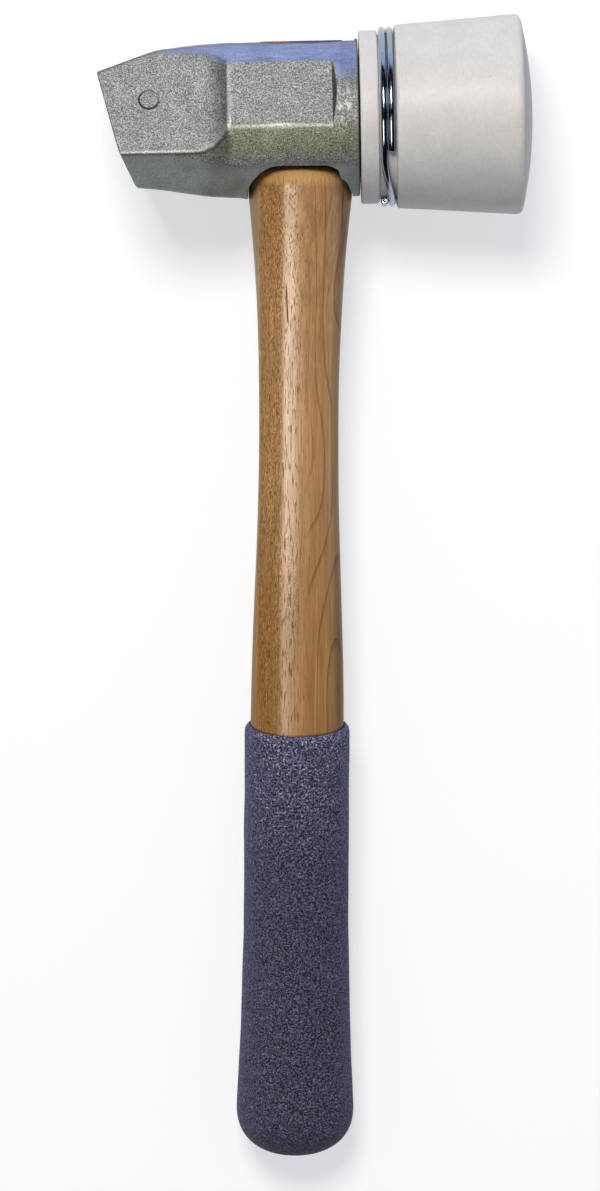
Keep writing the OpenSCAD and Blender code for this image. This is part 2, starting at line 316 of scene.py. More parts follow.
def combine(piece, tool, operation):
    """Cuts the tool's shape out of a piece, or adds it, and removes the tool."""
    step = piece.modifiers.new("combine", "BOOLEAN")
    step.operation = operation
    step.solver = "EXACT"
    step.object = tool
    scene = bpy.context.evaluated_depsgraph_get()
    mesh = bpy.data.meshes.new_from_object(piece.evaluated_get(scene))
    piece.modifiers.clear()
    piece.data = mesh
    bpy.data.objects.remove(tool)


def finish_piece(piece, material, body, node, crease):
    """Gives a piece its material and smooth shading, with edges sharper than the crease
    (in degrees) left sharp, and sets it on its body."""
    mesh = piece.data
    mesh.shade_smooth()
    mesh.set_sharp_from_angle(angle=math.radians(crease))
    mesh.materials.clear()
    mesh.materials.append(material)
    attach(piece, body)
    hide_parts(node)
    return piece


# Material helpers

IN_MM = (1 / MM, 1 / MM, 1 / MM)  # stretches coordinates in metres to millimetres


class Nodes:
    """The nodes of one tree, added and joined one after another."""

    def __init__(self, tree):
        self.tree = tree

    def feed(self, socket, value):
        """Joins another node's output to a socket, or sets its own value; colours are opaque."""
        if isinstance(value, bpy.types.NodeSocket):
            self.tree.links.new(value, socket)
        else:
            socket.default_value = (*value, 1) if socket.type == "RGBA" else value

    def node(self, kind, inputs=(), **settings):
        """A node with its settings; inputs are (socket, value or other node's output)."""
        node = self.tree.nodes.new(kind)
        for key, value in settings.items():
            setattr(node, key, value)
        for key, value in dict(inputs).items():
            self.feed(node.inputs[key], value)
        return node

    def math(self, operation, *values):
        """One operation on one or two numbers."""
        return self.node("ShaderNodeMath", enumerate(values), operation=operation).outputs[0]

    def times(self, *values):
        """The product of numbers."""
        return reduce(lambda a, b: self.math("MULTIPLY", a, b), values)

    def plus(self, *values):
        """The sum of numbers."""
        return reduce(lambda a, b: self.math("ADD", a, b), values)

    def most(self, *values):
        """The largest of numbers."""
        return reduce(lambda a, b: self.math("MAXIMUM", a, b), values)

    def between(self, value, low, high, start=0.0, end=1.0):
        """Smooth step from start to end while the value goes from low to high."""
        inputs = {
            "Value": value, "From Min": low, "From Max": high, "To Min": start, "To Max": end,
        }
        step = self.node("ShaderNodeMapRange", inputs, interpolation_type="SMOOTHSTEP")
        return step.outputs["Result"]

    def mix(self, share, a, b, blend="MIX"):
        """A blend of two colours."""
        node = self.node("ShaderNodeMix", data_type="RGBA", blend_type=blend)
        for socket, value in zip((node.inputs[0], node.inputs[6], node.inputs[7]), (share, a, b)):
            self.feed(socket, value)
        return node.outputs[2]

    def tint(self, colour, tone, share=1.0):
        """A colour multiplied by a tone, as far as its share."""
        return self.mix(share, colour, tone, "MULTIPLY")

    def seen(self):
        """1 where the camera looks, also in gloss and through glass, and 0 for other rays."""
        rays = self.node("ShaderNodeLightPath").outputs
        return self.most(*(rays[f"Is {kind} Ray"] for kind in ("Camera", "Glossy", "Transmission")))


class Finish(Nodes):
    """A new material and the nodes of its finish."""

    def __init__(self, name):
        self.material = bpy.data.materials.new(name)
        self.material.use_nodes = True
        super().__init__(self.material.node_tree)
        self.shader = self.tree.nodes["Principled BSDF"]

    def set(self, **values):
        """Feeds the surface shader's sockets, named with _ for a space."""
        for key, value in values.items():
            name = key.replace("_", " ").title().replace("Ior", "IOR")
            self.feed(self.shader.inputs[name], value)

    def place(self, scale=(1, 1, 1), shift=(0, 0, 0)):
        """Object coordinates in metres, stretched and then shifted."""
        source = self.node("ShaderNodeTexCoord").outputs["Object"]
        inputs = {"Vector": source, "Location": shift, "Scale": scale}
        return self.node("ShaderNodeMapping", inputs).outputs["Vector"]

    def head_place(self, scale=(1, 1, 1)):
        """The same from the eye's middle, and turned into the head's frame (u, v, w) last."""
        centred = self.place(shift=(0, -EYE_Y * MM, 0))
        inputs = {"Vector": centred, "Rotation": (0, 0, -HANG), "Scale": scale}
        return self.node("ShaderNodeMapping", inputs).outputs["Vector"]

    def parts(self, vector):
        """The three numbers of a vector."""
        return self.node("ShaderNodeSeparateXYZ", {"Vector": vector}).outputs

    def attribute(self, name):
        """A number stored on the mesh."""
        return self.node("ShaderNodeAttribute", attribute_name=name).outputs["Fac"]

    def noise(self, vector, scale, detail=2.0, roughness=0.5):
        """Soft noise about 1/scale metres in size."""
        inputs = {"Vector": vector, "Scale": scale, "Detail": detail, "Roughness": roughness}
        return self.node("ShaderNodeTexNoise", inputs).outputs["Fac"]

    def cells(self, vector, scale):
        """Distance to the nearest of scattered points about 1/scale metres apart."""
        inputs = {"Vector": vector, "Scale": scale}
        return self.node("ShaderNodeTexVoronoi", inputs).outputs["Distance"]

    def bump(self, height, depth, strength=1.0):
        """A bump from a height; depth is what a height of 1 stands for, in millimetres."""
        inputs = {"Height": height, "Distance": depth * MM, "Strength": strength}
        return self.node("ShaderNodeBump", inputs).outputs["Normal"]


# Head

BLOCK_END = -23.4  # where the poll block meets the flats
BLOCK_FULL = -31  # from here to the tip the block has its full height
FLAT_END = 10.5
FLAT_RUNOUT = 2.1  # how quickly a flat's end comes out to the round body
TIP_TOP = np.array([-65.5, 16.5])
TIP_LOW = np.array([-58.8, -8.1])
HEEL = np.array([-53.6, -20.4])
WIDEST_V = -9.0  # height of the poll's widest line
HEEL_HALF = 23.5
STRIP_FALL = 0.4  # how steeply the strip at the heel's bottom runs out along the head
CROWN_R = 54.5
CONE_SLOPE = 1.2
# How far the block stands out of the round body at distances from its foot, over and
# under the head's mid-plane
FLARE_FROM = [-60, 0, 2.2, 4.7, 7.6, 12.3, 18]
FLARE_OVER = [-43, -0.6, 1.1, 2.4, 3.0, 3.4, 3.6]
FLARE_UNDER = [-43, 0.5, 3.2, 5.8, 7.1, 8.8, 10.3]
# The same for the part close to the bottom, which tapers on into the body
LOW_FROM = [-60, -7, -3, 0, 3, 7, 12, 18]
FLARE_LOW = [-24, 0, 1.0, 2.1, 3.5, 5.4, 7.7, 10.3]
EDGE_R = 0.45  # how softly the long edges of the flats and the block are rounded
EDGE_SINE = 0.43  # sine of the angle at which a flat meets the round body
FAR_INSIDE = -1000.0  # a distance at which a cut takes nothing off
FAN_U = -45  # centre of the rays that reach the poll's end
LONGEST_RAY = 70
MOUTH_FLOOR = -13
MOUTH = (34.3, 42.3, 10)  # the eye's mouth along and across the head, and its corners
MOUTH_X = 0.12  # how far the mouth lies towards the cap
CUTTER_HALF = 34  # how far the eye's cutter reaches past the head's axis, up and down
MARK_U, MARK_ALONG = -48.7, -2.7  # the foundry mark's middle, along the head and up the face


def outline(u, *points):
    """Height of an outline at u, averaged over 5 mm so that its corners are soft."""
    u0, v0 = np.array(points).T
    return np.mean([np.interp(u + shift, u0, v0) for shift in np.linspace(-2.5, 2.5, 9)], 0)


def top_of(u, head):
    """Height of the head's top, from the poll's tip to the flat over the eye."""
    return outline(
        u, (-80, 11.9), (-65.5, 16.9), (-47.2, 23.1), (-32.4, 24.7), (-24, head.top_flat)
    )


def bottom_of(u, head):
    """Height of the poll's bottom, which runs out below the round body."""
    return outline(
        u, (-80, -17.8), (-46.5, -21.4), (-37, -23), (-27, -24.6), (-18, -head.radius), (-15, -30)
    )


def toward_flat(v, w, head):
    """Distance of points from the axis, measured square to the flat on their side."""
    return v * math.sin(head.flat_tilt) + np.abs(w) * math.cos(head.flat_tilt)


def widest_half(head):
    """Half the block's width at its widest line."""
    out = head.flat_distance + head.block_proud - WIDEST_V * math.sin(head.flat_tilt)
    return out / math.cos(head.flat_tilt)


def in_front(p, a, b):
    """Distance of points in front of the plane through the side-view line a-b."""
    along = (b - a) / np.linalg.norm(b - a)
    return (p[..., 1] - a[1]) * along[0] - (p[..., 0] - a[0]) * along[1]


def end_distance(p):
    """Distance in front of the poll's end face and of the cut-back heel under it."""
    return larger(in_front(p, TIP_LOW, TIP_TOP), in_front(p, HEEL, TIP_LOW), 0.5)


def poll_parts(p, head):
    """Distances outside the poll's side face, outside its lower facet with the strip at the
    heel's bottom, and outside the cone in which the block grows out of the round body."""
    u, v, w = np.moveaxis(p, -1, 0)
    w = np.abs(w)
    fall = np.clip((u - BLOCK_FULL) / (BLOCK_END - BLOCK_FULL), 0, 1)
    face = toward_flat(v, w, head) - head.flat_distance - head.block_proud * (1 - fall ** 2)
    widest = widest_half(head)
    dv, dw = WIDEST_V - HEEL[1], widest - HEEL_HALF
    facet = ((w - widest) * dv - (v - WIDEST_V) * dw) / math.hypot(dv, dw)
    strip = np.maximum(w - HEEL_HALF, v - HEEL[1] + STRIP_FALL * np.maximum(u - HEEL[0], 0))
    over = np.interp(BLOCK_END - u, FLARE_FROM, FLARE_OVER)
    under = np.interp(BLOCK_END - u, FLARE_FROM, FLARE_UNDER)
    low = np.interp(BLOCK_END - u, LOW_FROM, FLARE_LOW)
    flare = under + (over - under) * ease(v, -6, 6)
    flare = flare + (low - flare) * ease(v, -10.5, -14.5)
    cone = (np.hypot(v, w) - head.radius - flare) / CONE_SLOPE
    return face, smaller(facet, strip, 1.0), cone


def head_distance(p, head):
    """Distance outside the casting: the round body with its side flats, joined to the poll
    block, which grows out of it as a cone, all cut to the side outline, the crown and the
    poll's end."""
    u, v, w = np.moveaxis(p, -1, 0)
    runout = np.clip((u - FLAT_END) / FLAT_RUNOUT, 0, 1)
    flat_out = head.flat_distance + runout * (head.radius + 1.0 - head.flat_distance)
    body = larger(np.hypot(v, w) - head.radius, toward_flat(v, w, head) - flat_out, EDGE_R)
    body = np.maximum(body, BLOCK_END - 1.0 - u)
    face, low, cone = poll_parts(p, head)
    poll = larger(larger(face, low, EDGE_R), cone, 0.7)
    whole = smaller(body, poll, 0.5)
    whole = larger(whole, v - top_of(u, head), 0.8)
    crown = np.hypot(v - head.radius + CROWN_R, w) - CROWN_R
    whole = larger(whole, np.where(u < BLOCK_END, crown, FAR_INSIDE), 1.0)
    whole = larger(whole, bottom_of(u, head) - v, 1.0)
    return larger(whole, end_distance(p), 0.8)


def reach(start, direction, head):
    """Where rays leave the casting, found by halving the stretch that holds its surface."""
    near = np.zeros(np.broadcast_shapes(start.shape, direction.shape)[:-1])
    far = near + LONGEST_RAY
    for _ in range(34):
        middle = (near + far) / 2
        inside = head_distance(start + middle[..., None] * direction, head) < 0
        near = np.where(inside, middle, near)
        far = np.where(inside, far, middle)
    return start + far[..., None] * direction


def head_columns(head):
    """Angles round the head, 0 at its top, gathered where its long edges run."""
    flat = math.pi / 2 - head.flat_tilt
    half = math.acos(head.flat_distance / head.radius)
    edges = [
        flat - half, flat + half,
        math.atan2(widest_half(head), WIDEST_V), math.atan2(HEEL_HALF, HEEL[1]),
    ]
    near_edges = np.array(edges)[:, None] + np.linspace(-1, 1, 9) * math.radians(1.6)
    one_side = np.concatenate([np.linspace(0, math.pi, 151), near_edges.ravel()])
    one_side = np.unique(one_side.clip(0, math.pi))
    return np.concatenate([one_side, TAU - one_side[-2:0:-1]])


def poll_rows(columns, head):
    """Rings over the poll's end. Rays fan out from one point on the axis, and each column's
    rays are shared out so that one row runs along the end's edge."""
    start = np.array([FAN_U, 0, 0])

    def rays(lean):
        side = np.cos(lean)
        return xyz(-np.sin(lean), side * np.cos(columns), side * np.sin(columns))

    trial = np.linspace(0, math.pi / 2, 260)[:, None] + 0 * columns
    found = reach(start, rays(trial), head)
    edge_depth = 0.2
    on_end = end_distance(found) > -edge_depth
    edge = trial[on_end.argmax(0), np.arange(len(columns))]
    gather = np.sin(np.linspace(0, math.pi / 2, 30))[:, None]
    spill = 1 - np.cos(np.linspace(0, math.pi / 2, 15))[1:-1, None]
    lean = np.concatenate([edge * gather, edge + (math.pi / 2 - edge) * spill])
    return reach(start, rays(lean), head)[::-1]


def body_rows(columns, head):
    """Rings square to the axis, from the fan's centre to the collar's edge, closer together
    at the block's foot and at the flats' end."""
    stops = [
        np.arange(FAN_U + 0.8, BLOCK_FULL, 0.8),
        np.linspace(BLOCK_FULL, BLOCK_END + 2, 24, endpoint=False),
        np.arange(BLOCK_END + 2, FLAT_END - 0.6, 0.9),
        np.linspace(FLAT_END - 0.4, FLAT_END + 2.3, 18, endpoint=False),
        np.linspace(FLAT_END + 2.6, head.collar_end - 1, 8),
    ]
    start = xyz(np.concatenate(stops)[:, None], 0, 0)
    return reach(start, xyz(0, np.cos(columns), np.sin(columns)), head)


def spigot_rows(columns, head):
    """Rings of the collar's edge and face, and of the spigot with its nip groove."""
    r, u0 = head.spigot_diameter / 2, head.collar_end
    end = u0 + head.spigot_length
    nip0, nip1, nip_r = u0 + 6.2, u0 + 12.2, r - 1.2
    chamfer = 2
    line = rounded([
        (u0 - 0.8, head.radius, 0),
        (u0, head.radius, 0.5),
        (u0, r, 0.6),
        (nip0, r, 0.4),
        (nip0, nip_r, 0.5),
        (nip1, nip_r, 0.5),
        (nip1, r, 0.4),
        (end - chamfer, r, 0.6),
        (end, r - chamfer, 0.5),
        (end, 0.5, 0),
    ], steps=4)
    return turned(line, columns)


def rounded_oblong(a, size_x, size_z, corner):
    """Outline of a rectangle with round corners at angles a, walked at an even pace."""
    t = around(720)
    flat_x, flat_z = size_x / 2 - corner, size_z / 2 - corner
    x = flat_x * np.clip(np.cos(t) * 9, -1, 1) + corner * np.cos(t)
    z = flat_z * np.clip(np.sin(t) * 9, -1, 1) + corner * np.sin(t)
    x, z = np.append(x, x[0]), np.append(z, z[0])
    walked = np.append(0, np.cumsum(np.hypot(np.diff(x), np.diff(z))))
    at = a / TAU * walked[-1]
    return np.interp(at, walked, x), np.interp(at, walked, z)


def eye_cutter(head, handle):
    """What the eye takes out of the casting, as one skin: the oval down to the floor of the
    mouth, the mouth's wall down to the skin of the head, a chamfer there, and on outside.
    The mouth's near corner on the cap's side steps in, and curls in further towards
    its end, with the square of the distance."""
    a = around(160)
    chamfer = 0.15
    along, across, corner = MOUTH
    eye = rounded_oblong(a, handle.eye_length, handle.eye_width, handle.eye_width / 2)
    mouth = rounded_oblong(a, along, across, corner)
    flared = rounded_oblong(a, along + 2 * chamfer, across + 2 * chamfer, corner + chamfer)
    skin_r = head.radius + 0.25
    step, step_from, step_to = 1.9, 12.6, 13.1
    curl, curl_from, curl_run = 3.2, 15, 1.6
    corner_from, corner_to = 3, 9
    for x, z in (mouth, flared):
        notch = step * ease(x, step_from, step_to)
        notch += curl * np.clip((x - curl_from) / curl_run, 0, 1) ** 2
        z -= notch * (z > corner_from) * ease(z, corner_from, corner_to)

    def at(shape, y, shift=MOUTH_X):
        return xyz(shape[0] + shift, EYE_Y + y, shape[1])

    rings = np.stack([
        at(eye, CUTTER_HALF, 0),
        at(eye, MOUTH_FLOOR, 0),
        at(mouth, MOUTH_FLOOR),
        at(mouth, -np.sqrt((skin_r - chamfer) ** 2 - mouth[1] ** 2)),
        at(flared, -np.sqrt(skin_r ** 2 - flared[1] ** 2)),
        at(flared, -CUTTER_HALF),
    ])
    return skin("eye_cutter", rings)


def foundry_mark(head):
    """The raised round mark: a low disc with a soft edge, square to the near poll face. Its
    radius swings a little with the cosines of 3 and 7 times the angle."""
    s, c = math.sin(head.flat_tilt), math.cos(head.flat_tilt)
    r = head.mark_diameter / 2
    height = 0.32
    line = rounded([(-1, r, 0), (height, r, 0.18), (height, 0.3, 0)], steps=5)
    a = around(72)
    out = line[:, :1] + head.flat_distance + head.block_proud
    radius = line[:, 1:] * (1 + 0.012 * np.cos(7 * a) + 0.01 * np.cos(3 * a + 1))
    along = MARK_ALONG + radius * np.cos(a)
    rings = xyz(MARK_U + radius * np.sin(a), along * c + out * s, out * c - along * s)
    return skin("foundry_mark", on_head(rings))


# Lower edge of the smooth ground top along the head, and how softly it ends; the ground
# top carries a painted blue reflection of the sky
GROUND_U = [-70, -47.5, -46.2, -40, -34.6, -30.1, -27.1, -24.6, -23.8, 10.4, 12.5, 20]
GROUND_V = [30, 24, 22.9, 22.5, 22.1, 21.7, 20.6, 18.8, 19.2, 19.2, 15, 15]
GROUND_FADE = [0.5, 0.5, 0.5, 0.6, 0.6, 0.6, 0.8, 0.9, 0.9, 0.9, 8, 8]
# Painted shade on the collar: how dark it is at heights over the head's axis
COLLAR_V = [-20, -8, -4, 2, 6, 9, 12, 20]
COLLAR_SHADE = [0.26, 0.24, 0.18, 0.10, 0.0, 0.16, 0.32, 0.30]


def head_masks(mesh, head):
    """Stores how each point is finished, from where it lies: the ground top with its painted
    blue reflection of the sky, the cast grain, painted olive shade under the flats, painted
    highlights on the edges and in the valley at the block's foot, the scraped patch on the
    collar, painted shade in hollows and on edges, the machined spigot, and painted shade that
    makes the eye's walls near black."""
    places = np.zeros(len(mesh.vertices) * 3)
    mesh.vertices.foreach_get("co", places)
    p = from_head(places.reshape(-1, 3) / MM)
    u, v, w = np.moveaxis(p, -1, 0)
    r = np.hypot(v, w)
    face, facet, cone = poll_parts(p, head)
    edge = np.maximum(facet, cone)
    on_poll = u < BLOCK_END
    machined = ease(u, head.collar_end - 0.6, head.collar_end - 0.3)
    # Painted reflection: where the ground top gets the painted blue of the sky
    ground = ease((v - np.interp(u, GROUND_U, GROUND_V)) / np.interp(u, GROUND_U, GROUND_FADE) + 0.5)
    ground = ground * (1 - machined)
    grain_v = np.interp(u, [-44, -22], [-9.4, -14.2])
    grain = ease((v - grain_v) / np.interp(u, [-44, -30], [0.5, 3.0]) + 0.5) * (1 - ground)
    # Painted shade: olive darkening under the flats
    hollow = ease(v, 1.5, -2.5) * ease(u, -50, -34) * (1 - 0.75 * ease(v, -8, -14))
    painted_olive_shade = hollow * grain * ~(on_poll & (face > -0.35))

    flat = toward_flat(v, w, head) - head.flat_distance
    on_pad = (u > BLOCK_END) & (u < FLAT_END) & (v < 5)
    # Painted highlights along the lower edges of the flats and the block, and in the valley at the
    # block's foot
    pad_edge = on_pad * hump(np.hypot(flat, (r - head.radius) / EDGE_SINE), 0, 0.36)
    block_edge = (v < 3) * (u < BLOCK_END + 1) * hump(np.hypot(face, edge), 0, 0.42)
    valley = hump(u, BLOCK_END + 0.6, 0.9) * (v < 18) * (v > -4)
    patch = np.hypot((u - 14.5) / 2.4, (v - 5.0) / 6.5)

    # Painted shade: the step at the flats' end, the block's slope, the collar, a line under the
    # block's edge, a band low on the poll, the poll's end edge and the top outline
    wall = ease(u, FLAT_END - 0.2, FLAT_END + 0.2) * (u < FLAT_END + 3)
    wall = wall * ease(r, head.radius - 0.12, head.radius - 0.32)
    slope = np.clip((u - BLOCK_FULL) / (BLOCK_END - BLOCK_FULL), 0, 1) ** 1.2
    slope = slope * ((u < BLOCK_END - 0.3) & (face > -0.6) & (edge < 0.3))
    under = on_poll * (v < 1) * (edge > -0.5) * hump(face, -0.75, 0.4)
    band = hump(v, -13.8, 2.2) * ease(u, -42, -30)
    tip = ease(end_distance(p), -0.4, -0.1)
    collar = ease(u, FLAT_END + 2, FLAT_END + 3.5) * np.interp(v, COLLAR_V, COLLAR_SHADE)
    crest = ease(v - top_of(u, head), -1.0, -0.3)
    darks = [
        0.85 * wall, 0.62 * slope, collar * (1 - 0.4 * ground), 0.7 * under, 0.25 * band,
        0.8 * tip, 0.5 * crest,
    ]
    masks = {
        "ground": ground,
        "grain": grain,
        "painted_olive_shade": painted_olive_shade,
        "painted_edge_highlight": np.max([pad_edge, block_edge, 0.3 * valley], axis=0),
        "scraped": np.exp(-patch ** 4) * (w > 0),
        "dark": np.max(darks, axis=0),
        "machined": machined,
        # Painted shade: the eye's walls inside the casting are made near black
        "painted_eye_shade": ease(-head_distance(p, head), 0.25, 0.65) * (u < head.collar_end),
    }
    for name, values in masks.items():
        attribute = mesh.attributes.new(name, "FLOAT", "POINT")
        attribute.data.foreach_set("value", values.astype(np.float32))


def cast_steel(head):
    """Shot-blasted casting: coarse grain with painted glints on the faces, a smoother skin
    below whose lighter, cooler tone is partly painted reflection of the floor, a brushed
    ground top with a painted blue reflection of the sky, painted olive shade under the flats,
    painted highlights on the edges, a scraped patch on the collar, painted shade in hollows
    and on edges, painted shade that makes the eye's walls near black, and a dark spigot with
    turning lines. A painted shadow line lies round the foundry mark, darkest on its lower left."""
    f = Finish("cast_steel")
    place = f.head_place()
    grain, ground, painted_olive_shade, painted_edge_highlight = map(f.attribute, ("grain", "ground", "painted_olive_shade", "painted_edge_highlight"))
    scraped, dark, machined, painted_eye_shade = map(f.attribute, ("scraped", "dark", "machined", "painted_eye_shade"))
    pits = f.noise(place, 1700, 3, 0.7)
    sparks = f.noise(place, 2700, 1)
    # Painted reflection in part: the lower skin is lighter and cooler, for light from the floor as
    # well as a smoother skin
    smooth_and_floor_lit = np.multiply(head.casting, (1.14, 1.26, 1.22))
    colour = f.mix(grain, smooth_and_floor_lit, head.casting)
    # Painted olive shade under the flats
    colour = f.mix(f.times(painted_olive_shade, 0.9), colour, head.painted_olive_shade)
    speckle = f.times(f.between(sparks, 0.30, 0.70, 0.40, 1.6), f.between(pits, 0.3, 0.7, 0.65, 1.4))
    colour = f.tint(colour, speckle, f.between(grain, 0, 1, 0.35, 1.0))
    glints = f.times(
        f.between(f.cells(place, 680), 0.10, 0.26, 1.0, 0.0), f.between(pits, 0.4, 0.6),
        f.between(grain, 0, 1, 0.1, 0.55),
    )
    colour = f.mix(glints, colour, (0.80, 0.79, 0.72))
    brushed = f.noise(f.head_place((140, 2200, 2200)), 1)
    streaks = f.times(f.between(brushed, 0.3, 0.7, 0.84, 1.16), f.between(pits, 0.3, 0.7, 0.80, 1.20))
    # Painted reflection: the blue of the sky on the ground top
    colour = f.mix(ground, colour, f.tint(head.sky_reflection_tone, streaks))
    colour = f.tint(colour, f.between(f.noise(place, 160, 3, 0.55), 0.3, 0.7, 0.88, 1.1))
    # Painted highlights on the edges
    shine = f.times(painted_edge_highlight, f.between(pits, 0.35, 0.55, 0.30, 1.0))
    colour = f.mix(shine, colour, (0.98, 0.98, 0.92))
    scratches = f.between(f.noise(f.head_place((1, 0.6, 1)), 620, 3, 0.6), 0.50, 0.58)
    colour = f.mix(f.times(scraped, scratches), colour, (0.80, 0.80, 0.74))
    u, v, w = f.parts(f.head_place(IN_MM))
    s, c = math.sin(head.flat_tilt), math.cos(head.flat_tilt)
    # Painted shadow: a dark line round the foundry mark, darkest on its lower left
    du = f.plus(u, -MARK_U)
    da = f.plus(f.times(v, c), f.times(w, -s), -MARK_ALONG)
    radius = f.math("SQRT", f.plus(f.times(du, du), f.times(da, da)))
    off_line = f.math("ABSOLUTE", f.plus(radius, -head.mark_diameter / 2 - 0.08))
    away = f.between(f.plus(du, da), 3.2, -0.5, 0.4, 1.0)
    line = f.times(f.between(off_line, 0.46, 0.22), f.math("GREATER_THAN", w, 0.0), away)
    # Painted shade from the dark mask and the mark's painted shadow line
    colour = f.tint(colour, (0.16, 0.17, 0.15), f.most(dark, line))
    lathe = f.between(f.noise(f.head_place((1, 0.03, 0.03)), 2600), 0.35, 0.65)
    colour = f.mix(machined, colour, f.mix(lathe, (0.07, 0.066, 0.056), (0.17, 0.162, 0.14)))
    # Painted shade: the eye's walls are made near black
    colour = f.mix(painted_eye_shade, colour, (0.02, 0.02, 0.02))
    height = f.times(f.plus(pits, f.times(sparks, 0.5)), f.between(grain, 0, 1, 0.35, 1.0))
    f.set(base_color=colour, metallic=0.45, specular_tint=(0.5, 0.52, 0.6))
    f.set(roughness=f.between(ground, 0, 1, 0.50, 0.40), normal=f.bump(height, 0.26))
    return f.material


def build_head(head, handle):
    """The casting: poll, body, collar and spigot as one skin of rings, uneven as cast, with
    the foundry mark added and the eye cut out."""
    columns = head_columns(head)
    cast = np.concatenate([poll_rows(columns, head), body_rows(columns, head)])
    out = cast * [0, 1, 1]
    out /= np.linalg.norm(out, axis=-1, keepdims=True)
    fading = ease(cast[..., 0], head.collar_end - 4, head.collar_end - 10)
    fading *= ease(cast[..., 0], FAN_U - 12, FAN_U - 4)
    cast += out * (fading * waves(cast, seed=3, size=11, height=0.045))[..., None]
    rings = np.concatenate([cast, spigot_rows(columns, head)])
    first = reach(np.array([[FAN_U, 0, 0]]), np.array([[-1.0, 0, 0]]), head)[0]
    last = np.array([head.collar_end + head.spigot_length, 0, 0])
    piece = skin("mallet_head", on_head(rings), on_head(first), on_head(last))
    combine(piece, foundry_mark(head), "UNION")
    combine(piece, eye_cutter(head, handle), "DIFFERENCE")
    head_masks(piece.data, head)
    return finish_piece(piece, cast_steel(head), "mallet", "head", crease=35)


# Handle and wedges

# Heights on the handle, over the middle of the grip
SHOULDER_Y = EYE_Y - 20.8
FLARE_Y = EYE_Y - 26
TENON_Y = EYE_Y - 13.6
WAIST_Y = EYE_Y - 104
SWELL_Y = 25
ROUND_Y = -55
MOUTH_Y = 75  # height of the sleeve's mouth
MOUTH_SLANT = 2.2 / 13  # how far the sleeve's mouth falls for each mm towards the near side
POLE_Y = -69.8
FLARE_POWER = 2.2
BUTT_POWER = 2.3
GLUE_GAP = 0.05
TRIM_GAP = 0.2  # how far the ground-off wood stands over the head's top
DRIVEN_Y = 2  # how far the wedges were driven out past the head's top
CRACK_X, CRACK_Y = -4.0, 215.6  # middle of the short crack


def handle_size(y, full_y, neck, waist, grip, butt):
    """Width or depth at a height: above the waist it grows with a power of the rise, up to
    the neck, below it by a smooth step to the grip, and then by a square law to the butt."""
    rise = np.clip((y - WAIST_Y) / (full_y - WAIST_Y), 0, 1)
    flare = waist + (neck - waist) * rise ** FLARE_POWER
    middle = waist + (grip - waist) * ease(y, WAIST_Y, MOUTH_Y)
    low = np.clip((SWELL_Y - np.maximum(y, ROUND_Y)) / (SWELL_Y - ROUND_Y), 0, None)
    swell = grip + (butt - grip) * low ** 2
    return np.where(y > WAIST_Y, flare, np.where(y > SWELL_Y, middle, swell))


def ovals(y, handle, grown, columns, fade=1.0):
    """Rings of ellipses at heights y, grown all round and drawn in by fade. The width has
    its full size a little below the shoulder, the depth only at the shoulder."""
    a = around(columns)
    width = handle_size(
        y, FLARE_Y, handle.neck_width, handle.waist_width, handle.grip_width, handle.butt_width
    )
    depth = handle_size(
        y, SHOULDER_Y, handle.neck_depth, handle.waist_depth, handle.grip_depth, handle.butt_depth
    )
    half_w, half_d = (((size / 2 + grown) * fade)[:, None] for size in (width, depth))
    return xyz(half_w * np.cos(a), y[:, None], half_d * np.sin(a))


def butt_ovals(pole_y, handle, grown, columns):
    """Rings of the rounded butt, from its pole to its start: at a share t of the way to the
    pole they are drawn in by (1 - t^p)^(1/p)."""
    t = np.linspace(1, 0.02, 25) ** 0.6 * 0.999
    fade = (1 - t ** BUTT_POWER) ** (1 / BUTT_POWER)
    rings = ovals(np.full(len(t), ROUND_Y), handle, grown, columns, fade)
    rings[..., 1] += (t * (pole_y - ROUND_Y))[:, None]
    return rings


def tenon_rings(head, handle, columns):
    """Rings of the rounded shoulder, the oval tenon and the top. The shoulder's ellipses go
    over into the eye's by a share of 1 - sqrt(1 - t^3) of the rise t. The top is ground off
    almost flush with the head: v is the smaller of sqrt(r^2 - z^2) and the flat's height."""
    a = around(columns)
    chamfer = 0.06
    size_x, size_z = handle.eye_length - 2 * GLUE_GAP, handle.eye_width - 2 * GLUE_GAP
    x, z = rounded_oblong(a, size_x, size_z, size_z / 2)
    rise = np.linspace(0, 1, 17)[:, None] ** 0.7
    y = (1 - rise) * SHOULDER_Y + rise * TENON_Y
    share = 1 - np.sqrt(1 - rise ** 3)
    half_w = (1 - share) * handle.neck_width / 2 + share * (handle.eye_length / 2 - 0.7)
    half_d = (1 - share) * handle.neck_depth / 2 + share * (handle.eye_width / 2 + 0.8)
    bulge = xyz(half_w * np.cos(a), y, half_d * np.sin(a))
    foot = xyz(x, TENON_Y, z)[None]
    shrink = np.append(1, np.linspace(0.985, 0.02, 24))[:, None]
    top_x, top_z = shrink * x, shrink * z
    c, s = math.cos(HANG), math.sin(HANG)
    trim_r = head.radius + TRIM_GAP + GLUE_GAP
    top_v = smaller(np.sqrt(trim_r ** 2 - top_z ** 2), head.top_flat + TRIM_GAP, 0.2)
    top_y = EYE_Y + (top_v + top_x * s) / c - chamfer * (shrink == 1)
    return np.concatenate([bulge, foot, xyz(top_x, top_y, top_z)])


def kerf(depth, top, tip, width, place):
    """A cutter for one kerf, as two rings: a rectangle at the wedge's thick end and one at
    its thin end, with the glue's gap all round, set in place."""
    corners = np.array([[1, 1], [-1, 1], [-1, -1], [1, -1]]) / 2
    thick, thin = (corners * (np.array([width, size]) + 2 * GLUE_GAP) for size in (top, tip))
    rings = np.stack([
        xyz(thick[:, 0], GLUE_GAP, thick[:, 1]),
        xyz(thin[:, 0], -depth - GLUE_GAP, thin[:, 1]),
    ])
    return skin("kerf", place(rings))


